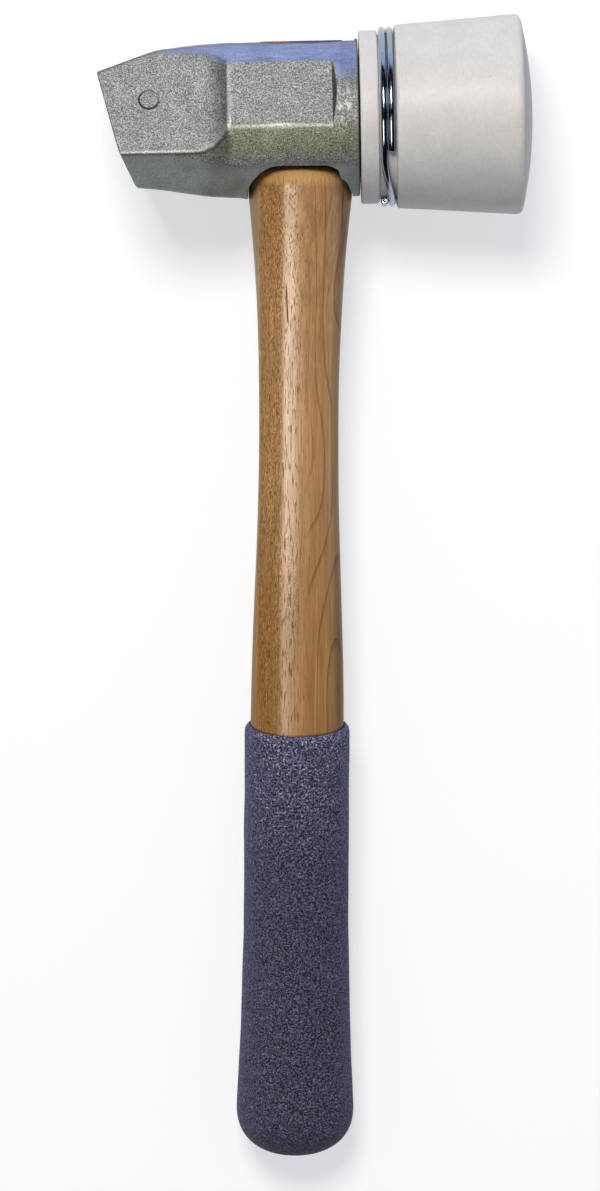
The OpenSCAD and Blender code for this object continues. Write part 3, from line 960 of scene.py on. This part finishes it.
def hickory(handle):
    """Varnished hickory, its growth rings standing on edge: a pale sapwood strip, a belt of
    early wood full of short open pores, then plainer wood with long pores, and thin ring
    lines that bend into arches at the other edge. A painted cool sheen lies on the early wood
    below the neck, and painted cool shade on the edge towards the cap. There is one short
    crack near the neck; the wood is bare inside the head's mouth and painted brighter there
    against the mouth's shade, and painted shadow lies where it meets the head and the sleeve.
    The end grain in the head's top is painted a dark cool shade. The varnish is rubbed thin
    towards the grip."""
    f = Finish("hickory")
    across, y, near = f.parts(f.place(IN_MM))
    wander = f.plus(f.noise(f.place((0.3, 1, 0.3)), 14), -0.5)
    line = f.plus(across, f.times(wander, 2.2))
    fibre = f.noise(f.place((1, 0.02, 1)), 2900, 3, 0.65)
    bands = f.noise(f.place((1, 0.025, 1)), 600, 3, 0.6)
    early = f.times(f.between(line, -13.6, -12.2), f.between(line, -4.8, -6.4))
    colour = f.mix(early, handle.late_wood, handle.early_wood)
    colour = f.tint(colour, f.between(bands, 0.28, 0.72, 0.80, 1.20))
    colour = f.tint(colour, f.between(fibre, 0.28, 0.72, 0.86, 1.14))
    sway = f.times(f.noise(f.place((1, 0.3, 1)), 42, 1), 26)
    ring = f.math("FRACT", f.math("DIVIDE", f.plus(line, sway), 4.2))
    arch = f.times(f.between(ring, 0.0, 0.20, 1.0, 0.0), f.between(line, 1, 6), 0.85)
    colour = f.tint(colour, (0.58, 0.42, 0.33), arch)
    pale = f.between(line, -13.2, -14.2)
    colour = f.mix(pale, colour, f.tint(handle.sapwood, f.between(bands, 0.3, 0.7, 0.88, 1.12)))
    # Painted shade: the edge towards the cap is made darker and cooler
    colour = f.tint(colour, (0.48, 0.50, 0.60), f.between(across, 9, 14, 0.0, 0.8))
    colour = f.tint(colour, (0.84, 0.80, 0.68), f.between(y, 170, 105))
    # Painted sheen: a cool lift on the early wood below the neck
    painted_sheen = f.times(f.between(y, 246, 214), f.between(y, 120, 165), f.between(line, 5, -4))
    colour = f.tint(colour, (1.10, 1.17, 1.42), painted_sheen)

    dash = f.noise(f.place((1, 0.20, 1)), 3600, 2, 0.6)
    long_dash = f.noise(f.place((1, 0.075, 1)), 3000, 1)
    crowd = f.times(early, f.between(bands, 0.35, 0.55, 0.5, 1.0))
    sparse = f.times(f.between(line, 7, -3, 0.06, 1.0), f.math("SUBTRACT", 1.0, pale))
    pores = f.most(
        f.times(f.between(dash, 0.49, 0.56), crowd),
        f.times(f.between(long_dash, 0.60, 0.66), sparse),
    )
    colour = f.mix(f.times(pores, 0.68), colour, handle.pores)
    crack_x, crack_y, _ = f.parts(f.place(IN_MM, (-CRACK_X, -CRACK_Y, 0)))
    lean = f.plus(crack_x, f.times(crack_y, 0.05))
    crack = f.times(
        f.between(f.math("ABSOLUTE", lean), 0.26, 0.10),
        f.between(f.math("ABSOLUTE", crack_y), 6.4, 4.8),
        f.math("GREATER_THAN", near, 0.0),
    )
    colour = f.mix(f.times(crack, 0.9), colour, (0.04, 0.02, 0.01))

    bare = f.between(y, SHOULDER_Y - 1.0, SHOULDER_Y + 1.3)
    # Painted light: the bare wood in the head's mouth is made brighter against the mouth's shade
    bulge = f.times(bare, f.between(y, EYE_Y + 10, EYE_Y - 5), 0.80)
    bright = f.tint((0.66, 0.37, 0.125), f.between(fibre, 0.3, 0.7, 0.66, 1.24))
    colour = f.mix(bulge, colour, bright)
    # Painted shade: the end grain in the head's top is made dark and cool
    painted_top_shade = f.times(f.between(y, EYE_Y, EYE_Y + 10), f.between(across, -6, -3, 0.3, 1.0))
    colour = f.mix(painted_top_shade, colour, (0.10, 0.105, 0.16))
    # Painted shadow: the wood inside the head's mouth and eye is made near black
    mouth_shadow = f.times(f.between(y, EYE_Y - 15.3, EYE_Y - 14.9), f.between(y, EYE_Y, EYE_Y - 5))
    colour = f.mix(mouth_shadow, colour, (0.012, 0.010, 0.009))
    # Painted shadow: a dark line on the wood along the sleeve's mouth
    lip = f.plus(y, f.times(near, MOUTH_SLANT))
    colour = f.mix(f.between(lip, MOUTH_Y + 1.0, MOUTH_Y + 0.1, 0.0, 0.7), colour, (0.05, 0.03, 0.02))

    height = f.math("SUBTRACT", f.times(fibre, 0.6), f.plus(pores, crack))
    facing = f.node("ShaderNodeLayerWeight", {"Blend": 0.5}).outputs["Facing"]
    broken = f.most(f.times(pores, 0.7), crack)
    gloss = f.times(f.between(facing, 0.15, 0.5, 1.0, 0.15), f.math("SUBTRACT", 1.0, broken))
    coat = f.times(gloss, f.between(bare, 0, 1, 1.0, 0.0), f.between(y, 150, 90, 1.0, 0.25))
    f.set(base_color=colour, roughness=f.between(bare, 0, 1, 0.38, 0.65))
    f.set(specular_ior_level=f.times(gloss, 0.35), normal=f.bump(height, 0.06, 0.8))
    f.set(coat_weight=coat, coat_roughness=0.18, coat_ior=1.6, coat_normal=f.bump(height, 0.15))
    return f.material


def build_handle(head, handle):
    """The handle, from the rounded butt up to the ground-off top, with a kerf for each wedge."""
    columns = 112
    shaft = np.concatenate([
        np.arange(ROUND_Y, MOUTH_Y, 5), np.arange(MOUTH_Y, SHOULDER_Y - 1, 2.5),
        [SHOULDER_Y - 0.5],
    ])
    stem = ovals(shaft, handle, np.where(shaft < MOUTH_Y, -GLUE_GAP, 0), columns)
    stem[..., [0, 2]] *= (1 + waves(stem, seed=5, size=60, height=0.004))[..., None]
    butt = butt_ovals(POLE_Y, handle, -GLUE_GAP, columns)
    rings = np.concatenate([butt, stem, tenon_rings(head, handle, columns)])
    piece = skin("mallet_handle", rings)
    top = EYE_Y + head.radius + DRIVEN_Y

    def along_oval(rings):
        return rings + [0, top, 0]

    cutter = kerf(depth=32, top=4.8, tip=1.2, width=24, place=along_oval)
    combine(piece, cutter, "DIFFERENCE")
    turn, apart = math.radians(18), 6.6
    for side in (-1, 1):
        c, s = math.cos(turn), side * math.sin(turn)

        def across_oval(rings):
            x, y, z = rings[..., 2], rings[..., 1], -rings[..., 0]
            return xyz(x * c + z * s + side * apart, y + top, z * c - x * s)

        cutter = kerf(depth=21, top=3, tip=0.8, width=9, place=across_oval)
        combine(piece, cutter, "DIFFERENCE")
    return finish_piece(piece, hickory(handle), "mallet", "handle", crease=35)


def bare_maple():
    """The wooden wedge: pale, unvarnished, with grain along its length and dark flecks."""
    f = Finish("bare_maple")
    fibre = f.noise(f.place((0.3, 0.02, 1)), 2400, 3, 0.6)
    dots = f.noise(f.place((1, 0.05, 1)), 3000, 1)
    colour = f.mix(f.between(fibre, 0.3, 0.7), (0.30, 0.19, 0.095), (0.47, 0.33, 0.18))
    colour = f.mix(f.between(dots, 0.62, 0.7, 0, 0.5), colour, (0.14, 0.08, 0.035))
    f.set(base_color=colour, roughness=0.68, normal=f.bump(fibre, 0.08, 0.7))
    return f.material


def driven_steel():
    """The steel wedges: dull mild steel, bruised by the hammer and filed across the top."""
    f = Finish("driven_steel")
    filed = f.noise(f.place((1, 1, 0.05)), 2600)
    bruises = f.noise(f.place(), 700, 3, 0.6)
    colour = f.mix(f.between(bruises, 0.35, 0.65), (0.17, 0.165, 0.16), (0.36, 0.36, 0.355))
    height = f.plus(f.times(filed, 0.5), bruises)
    f.set(base_color=colour, metallic=0.85, normal=f.bump(height, 0.12, 0.7))
    f.set(roughness=f.between(bruises, 0.3, 0.7, 0.5, 0.32))
    return f.material


def repaint(node, material):
    """Gives a piece of the packed model a better material."""
    for slot in frame["nodes"][node].material_slots:
        slot.material = material


# Foam sleeve

def grip_foam(grip):
    """Closed-cell foam: a fine dark grain with lighter cells and a few painted glints, most on
    the near side towards the mouth, and painted shade that darkens it in patches towards the
    closed end."""
    f = Finish("grip_foam")
    _, y, near = f.parts(f.place(IN_MM))
    cells = f.noise(f.place(), 1750, 1, 0.6)
    fine = f.noise(f.place(), 1500, 1)
    patches = f.noise(f.place(), 70)
    shade = [0.12 * part for part in grip.foam]
    colour = f.mix(f.between(cells, 0.43, 0.58), shade, grip.speckle)
    colour = f.mix(0.12, colour, grip.foam)
    # Painted glints: bright cells, most on the near side towards the mouth
    bright = f.times(
        f.between(fine, 0.60, 0.68), f.between(y, 20, 70, 0.55, 1.0),
        f.between(near, 4, 13, 0.30, 1.0), 0.9,
    )
    colour = f.mix(bright, colour, (0.60, 0.60, 0.74))
    # Painted shade: darker in patches towards the closed end
    painted_falloff_shade = f.between(f.plus(y, f.times(patches, 30)), 88, 34)
    colour = f.tint(colour, (0.67, 0.65, 0.66), painted_falloff_shade)
    colour = f.tint(colour, (0.50, 0.44, 0.30), f.between(y, -60, -72, 0.0, 0.9))
    normal = f.bump(f.plus(cells, f.times(fine, 0.5)), 0.7)
    f.set(base_color=colour, roughness=0.7, specular_ior_level=0.4, normal=normal)
    f.set(sheen_weight=0.3, sheen_roughness=0.35, sheen_tint=(0.42, 0.46, 1.0))
    return f.material


def build_grip(handle, grip):
    """The sleeve as one skin: up its outside from the closed end, over the rolled mouth,
    and down its inside, with a thin gap to the wood at the mouth. The mouth lies askew:
    its height falls with the sine of the angle round the handle."""
    columns = 128
    roll_length, lip_gap = 2.4, 0.3
    skirt_y = grip.mouth - 8
    outer = np.concatenate([
        butt_ovals(-grip.butt, handle, grip.wall, columns),
        ovals(np.arange(ROUND_Y, skirt_y, 2.5), handle, grip.wall, columns),
    ])
    roll = np.linspace(0, math.pi / 2, 10)
    rim_y = grip.mouth - roll_length + roll_length * np.sin(roll)
    rim = ovals(rim_y, handle, lip_gap + (grip.wall - lip_gap) * np.cos(roll), columns)
    rim[..., 1] -= grip.mouth_dip * np.sin(around(columns))
    inner = ovals(np.arange(skirt_y, ROUND_Y, -5), handle, 0, columns)
    inner_butt = butt_ovals(-grip.butt + grip.wall, handle, 0, columns)[::-1]
    outside = np.concatenate([outer, rim])
    outside[..., [0, 2]] *= (1 + waves(outside, seed=8, size=22, height=0.0035))[..., None]
    piece = skin("grip_foam_sleeve", np.concatenate([outside, inner, inner_butt]))
    finish_piece(piece, grip_foam(grip), "mallet", "grip_sleeve", crease=60)
    return piece


# Rubber cap and wire ring

CAP_GAP = 0.4  # between the collar and the cap
FLANGE = 6.0
GROOVE = 5.6
RUN_GAP = 0.08  # between the spigot and the cap's bore


def cap_rubber(head, cap):
    """Moulded off-white rubber: a soft satin skin, faintly mottled, with a few specks, and
    painted darker and cooler on the striking face as shade."""
    f = Finish("cap_rubber")
    mottle = f.noise(f.place(), 130, 3, 0.55)
    fine = f.noise(f.head_place((1, 0.6, 0.6)), 1100)
    specks = f.noise(f.place(), 900, 0.5)
    tone = f.times(f.between(mottle, 0.3, 0.7, 0.965, 1.03), f.between(fine, 0.3, 0.7, 0.97, 1.03))
    colour = f.tint(cap.rubber, tone)
    colour = f.mix(f.between(specks, 0.76, 0.82, 0, 0.35), colour, (0.42, 0.40, 0.37))
    rim_u = head.collar_end + CAP_GAP + cap.cap_length
    # Painted shade: the striking face is made darker and cooler
    painted_face_shade = f.between(f.parts(f.head_place(IN_MM))[0], rim_u - 0.1, rim_u + 0.5)
    colour = f.tint(colour, (0.64, 0.66, 0.74), painted_face_shade)
    normal = f.bump(f.plus(fine, f.times(mottle, 2.0)), 0.05, 0.5)
    f.set(base_color=colour, roughness=0.42, specular_ior_level=0.38, normal=normal)
    return f.material


def build_cap(head, cap):
    """The cap, turned about the head's axis: bore, flange, groove for the ring, tapered body,
    softly rounded rim and domed striking face, with a slightly uneven body."""
    u0 = head.collar_end + CAP_GAP
    groove0 = u0 + FLANGE
    groove1 = groove0 + GROOVE
    rim_u = u0 + cap.cap_length
    bore_r = head.spigot_diameter / 2 + RUN_GAP
    floor_u = head.collar_end + head.spigot_length + RUN_GAP
    dome_r = (cap.rim_radius ** 2 + cap.dome ** 2) / (2 * cap.dome)
    wall = rounded([
        (floor_u, 0.5, 0),
        (floor_u, bore_r, 1.0),
        (u0, bore_r, 0.3),
        (u0, cap.flange_radius, 0.8),
        (groove0, cap.flange_radius, 0.8),
        (groove0, cap.groove_radius, 0.35),
        (groove1, cap.groove_radius, 0.4),
        (groove1, cap.body_radius, 1.3),
        (rim_u, cap.rim_radius + 0.06, 1.9),
        (rim_u + cap.dome * 0.21, cap.rim_radius * 0.89, 0),
    ], steps=7)
    dome_a = math.asin(cap.rim_radius * 0.88 / dome_r) * np.linspace(1, 0.02, 16)
    dome_u = rim_u + cap.dome - dome_r + dome_r * np.cos(dome_a)
    dome = np.stack([dome_u, dome_r * np.sin(dome_a)], -1)
    rings = turned(spread(np.concatenate([wall, dome]), step=1.6), around(224))
    uneven = (rings[..., 0] > groove1) * waves(rings, seed=12, size=26, height=0.06)
    rings = rings + uneven[..., None] * rings * [0, 1, 1] / cap.rim_radius
    piece = skin("striking_cap", on_head(rings))
    material = cap_rubber(head, cap)
    return finish_piece(piece, material, "cap", "rubber_cap", crease=50)


def bright_plating(ring):
    """Bright plated wire with a little haze."""
    f = Finish("bright_plating")
    haze = f.noise(f.place(), 500, 3, 0.6)
    f.set(base_color=ring.plating, metallic=1.0, normal=f.bump(haze, 0.02, 0.5))
    f.set(roughness=f.between(haze, 0.35, 0.65, 0.08, 0.20))
    return f.material


def build_ring(head, ring):
    """The ring, one wire swept round the groove nearly twice: a turn on the flange's side, a
    jog where one strand lies alone, and a turn on the body's side. Its ends are cropped."""
    middle = head.collar_end + CAP_GAP + FLANGE + GROOVE / 2
    pitch = ring.wire + ring.gap
    start_a = math.radians(163)
    whole_a = 2 * TAU - ring.ends_apart
    jog = (ring.ends_apart - math.radians(8)) / whole_a
    crop = 0.35 / (ring.radius * whole_a)
    rows = 640
    # Rows past each end, as (distance along the wire, share of its radius)
    past, share = np.array([
        (0.14, 0.98), (0.30, 0.90), (0.40, 0.74), (0.42, 0.45), (0.30, 0.30), (0.22, 0.10),
    ]).T
    t = np.pad(np.linspace(crop, 1 - crop, rows), len(past), "edge")
    shift = np.concatenate([-past[::-1], np.zeros(rows), past])
    size = np.concatenate([share[::-1], np.ones(rows), share])

    def path(t):
        a = start_a + whole_a * t
        u = middle - pitch / 2 + pitch * ease((t - 0.5) / jog + 0.5)
        return xyz(u, ring.radius * np.cos(a), ring.radius * np.sin(a))

    centre = path(t)
    step = 1e-5
    along = path(t + step) - path(t - step)
    along /= np.linalg.norm(along, axis=-1, keepdims=True)
    out = centre * [0, 1, 1] / ring.radius
    side = np.cross(along, out)
    b = around(24)[:, None]
    section = np.cos(b) * out[:, None] + np.sin(b) * side[:, None]
    rings = (centre + shift[:, None] * along)[:, None]
    rings = rings + (ring.wire / 2 * size)[:, None, None] * section
    piece = skin("retaining_ring", on_head(rings))
    return finish_piece(piece, bright_plating(ring), "ring", "wire_ring", crease=50)


# Floor, light and camera, placed in metres

def floor_points():
    """The floor as a surface over x and y. It meets the cap's rim, the poll and the butt, so
    it rises gently down the handle, and it levels off away from the tool: its height is
    the slope times m tanh(d^3 / m^3)^(1/3), at a distance d from the head."""
    rest_y, rest_z = EYE_Y * MM, -0.03275
    slope = math.tan(math.radians(2.72))
    half_size, crowding, ramp = 8.0, 4, 0.42
    pace = np.sinh(np.linspace(-1, 1, 161) * crowding) / math.sinh(crowding) * half_size
    x, y = np.meshgrid(pace, pace + 0.12, indexing="ij")
    away = np.clip(rest_y - y, 0, None) / ramp
    return xyz(x, y, rest_z + slope * ramp * np.tanh(away ** 3) ** (1 / 3))


def build_floor(stage):
    """The floor, one matt sheet of four-sided faces that keeps the tool's shadow; where it is
    seen it is lifted towards white."""
    f = Finish("studio_floor")
    f.set(base_color=stage.floor, roughness=0.95, specular_ior_level=0.0)
    f.set(emission_color=(1, 1, 1), emission_strength=f.times(f.seen(), 0.585))
    points = floor_points()
    rows, columns = points.shape[:2]
    index = np.arange(rows * columns).reshape(rows, columns)
    quads = np.stack([index[:-1, :-1], index[1:, :-1], index[1:, 1:], index[:-1, 1:]], -1)
    mesh = bpy.data.meshes.new("studio_floor")
    mesh.from_pydata(points.reshape(-1, 3).tolist(), [], quads.reshape(-1, 4).tolist())
    mesh.shade_smooth()
    mesh.materials.append(f.material)
    floor = placed("studio_floor", mesh)


def build_world():
    """White to the camera and in gloss, a soft cool grey to everything else."""
    world = bpy.data.worlds.new("studio_air")
    world.use_nodes = True
    bpy.context.scene.world = world
    f = Nodes(world.node_tree)
    background = f.tree.nodes["Background"]
    seen = f.seen()
    f.feed(background.inputs["Color"], f.mix(seen, (0.775, 0.86, 1.045), (1, 1, 1)))
    f.feed(background.inputs["Strength"], f.between(seen, 0, 1, 0.27, 1.0))


def lamp(name, place, target, size, power, colour, gloss_only=False):
    """A soft panel that faces a point; size is its width and height."""
    data = bpy.data.lights.new(name, "AREA")
    data.shape = "RECTANGLE"
    data.size, data.size_y = size
    data.energy = power
    data.color = colour
    panel = placed(name, data)
    panel.location = place
    panel.rotation_euler = (Vector(target) - Vector(place)).to_track_quat("-Z", "Y").to_euler()
    panel.visible_diffuse = not gloss_only


def surround(name, half, low, high, tone):
    """Dark walls and a ceiling round the set that only show in gloss."""
    corners = np.array([(-1, -1), (1, -1), (1, 1), (-1, 1)]) * half
    points = [(*corner, z) for z in (low, high) for corner in corners.tolist()]
    mesh = bpy.data.meshes.new(name)
    walls = [(k, (k + 1) % 4, (k + 1) % 4 + 4, k + 4) for k in range(4)]
    mesh.from_pydata(points, [], walls + [(4, 5, 6, 7)])
    f = Finish(name)
    f.set(base_color=tone, roughness=1.0, specular_ior_level=0.0)
    mesh.materials.append(f.material)
    panel = placed(name, mesh)
    for ray in ("camera", "diffuse", "shadow", "transmission", "volume_scatter"):
        setattr(panel, "visible_" + ray, False)


def build_lights():
    """A key from over the head, a panel above the handle's left that draws the streak down
    the varnish and shows only in gloss, a cool panel behind the head's top, and a dark
    surround for the gloss."""
    lamp(
        "key_panel", place=(-0.22, 1.03, 1.44), target=(0, 0.28, 0), size=(0.5, 0.5),
        power=17.8, colour=(1.0, 0.972, 0.905),
    )
    lamp(
        "streak_panel", place=(-0.66, -0.2, 1.36), target=(0, -0.2, 0), size=(0.75, 0.52),
        power=10.8, colour=(1.0, 0.93, 0.84), gloss_only=True,
    )
    lamp(
        "cool_panel", place=(0.1, 1.55, 0.24), target=(0, 0.28, 0), size=(1.6, 0.4),
        power=3.2, colour=(0.50, 0.62, 1.0),
    )
    surround("dark_surround", half=2.6, low=0.0, high=2.0, tone=(0.02, 0.025, 0.045))


def build_camera(stage):
    """The camera at the photograph's angle: above the head's end of the tool, looking a
    little down the handle."""
    data = bpy.data.cameras.new("camera")
    data.sensor_width = 36
    data.lens = 137.6
    data.clip_start, data.clip_end = 0.05, 40
    camera = placed("camera", data)
    beside = -0.36
    camera.location = Vector((beside, EYE_Y + stage.camera_above, stage.camera_height)) * MM
    camera.rotation_euler = (-stage.camera_pitch, 0, stage.camera_roll)
    bpy.context.scene.camera = camera


# Operators, panel and registration

class MALLET_OT_head(bpy.types.Operator):
    """Build the cast head with its eye, collar and spigot."""

    bl_idname = "mallet.head"
    bl_label = "Head"

    def execute(self, context):
        build_head(chosen("mallet_head"), chosen("mallet_handle"))
        return {"FINISHED"}


class MALLET_OT_handle(bpy.types.Operator):
    """Build the wooden handle."""

    bl_idname = "mallet.handle"
    bl_label = "Handle"

    def execute(self, context):
        build_handle(chosen("mallet_head"), chosen("mallet_handle"))
        return {"FINISHED"}


class MALLET_OT_wedges(bpy.types.Operator):
    """Finish the wooden wedge and the two steel wedges."""

    bl_idname = "mallet.wedges"
    bl_label = "Wedges"

    def execute(self, context):
        repaint("wooden_wedge", bare_maple())
        steel = driven_steel()
        repaint("steel_wedge_poll_side", steel)
        repaint("steel_wedge_cap_side", steel)
        return {"FINISHED"}


class MALLET_OT_grip(bpy.types.Operator):
    """Build the foam sleeve."""

    bl_idname = "mallet.grip"
    bl_label = "Grip sleeve"

    def execute(self, context):
        build_grip(chosen("mallet_handle"), chosen("mallet_grip"))
        return {"FINISHED"}


class MALLET_OT_cap(bpy.types.Operator):
    """Build the rubber striking cap."""

    bl_idname = "mallet.cap"
    bl_label = "Rubber cap"

    def execute(self, context):
        build_cap(chosen("mallet_head"), chosen("mallet_cap"))
        return {"FINISHED"}


class MALLET_OT_ring(bpy.types.Operator):
    """Build the wire ring that holds the cap."""

    bl_idname = "mallet.ring"
    bl_label = "Wire ring"

    def execute(self, context):
        build_ring(chosen("mallet_head"), chosen("mallet_ring"))
        return {"FINISHED"}


class MALLET_OT_stage(bpy.types.Operator):
    """Build the floor, the light and the camera."""

    bl_idname = "mallet.stage"
    bl_label = "Stage"

    def execute(self, context):
        stage = chosen("mallet_stage")
        build_floor(stage)
        build_world()
        build_lights()
        build_camera(stage)
        context.scene.view_settings.view_transform = "Standard"
        return {"FINISHED"}


OPERATORS = (
    MALLET_OT_head, MALLET_OT_handle, MALLET_OT_wedges, MALLET_OT_grip,
    MALLET_OT_cap, MALLET_OT_ring, MALLET_OT_stage,
)


class MALLET_PT_panel(bpy.types.Panel):
    """The mallet's pieces and settings in the 3D view's sidebar."""

    bl_label = "Flooring mallet"
    bl_idname = "MALLET_PT_panel"
    bl_space_type = "VIEW_3D"
    bl_region_type = "UI"
    bl_category = "Mallet"

    def draw(self, context):
        for operator in OPERATORS:
            self.layout.operator(operator.bl_idname)
        for name, group in SETTINGS.items():
            box = self.layout.box()
            box.label(text=group.__doc__)
            for key in group.__annotations__:
                box.prop(getattr(context.scene, name), key)


def register():
    for group in SETTINGS.values():
        bpy.utils.register_class(group)
    for name, group in SETTINGS.items():
        setattr(bpy.types.Scene, name, PointerProperty(type=group))
    for item in OPERATORS + (MALLET_PT_panel,):
        bpy.utils.register_class(item)


def unregister():
    for item in (MALLET_PT_panel,) + OPERATORS[::-1]:
        bpy.utils.unregister_class(item)
    for name, group in SETTINGS.items():
        delattr(bpy.types.Scene, name)
        bpy.utils.unregister_class(group)


def main():
    register()
    bpy.ops.mallet.head()
    bpy.ops.mallet.handle()
    bpy.ops.mallet.wedges()
    bpy.ops.mallet.grip()
    bpy.ops.mallet.cap()
    bpy.ops.mallet.ring()
    bpy.ops.mallet.stage()


if __name__ == "__main__":
    main()
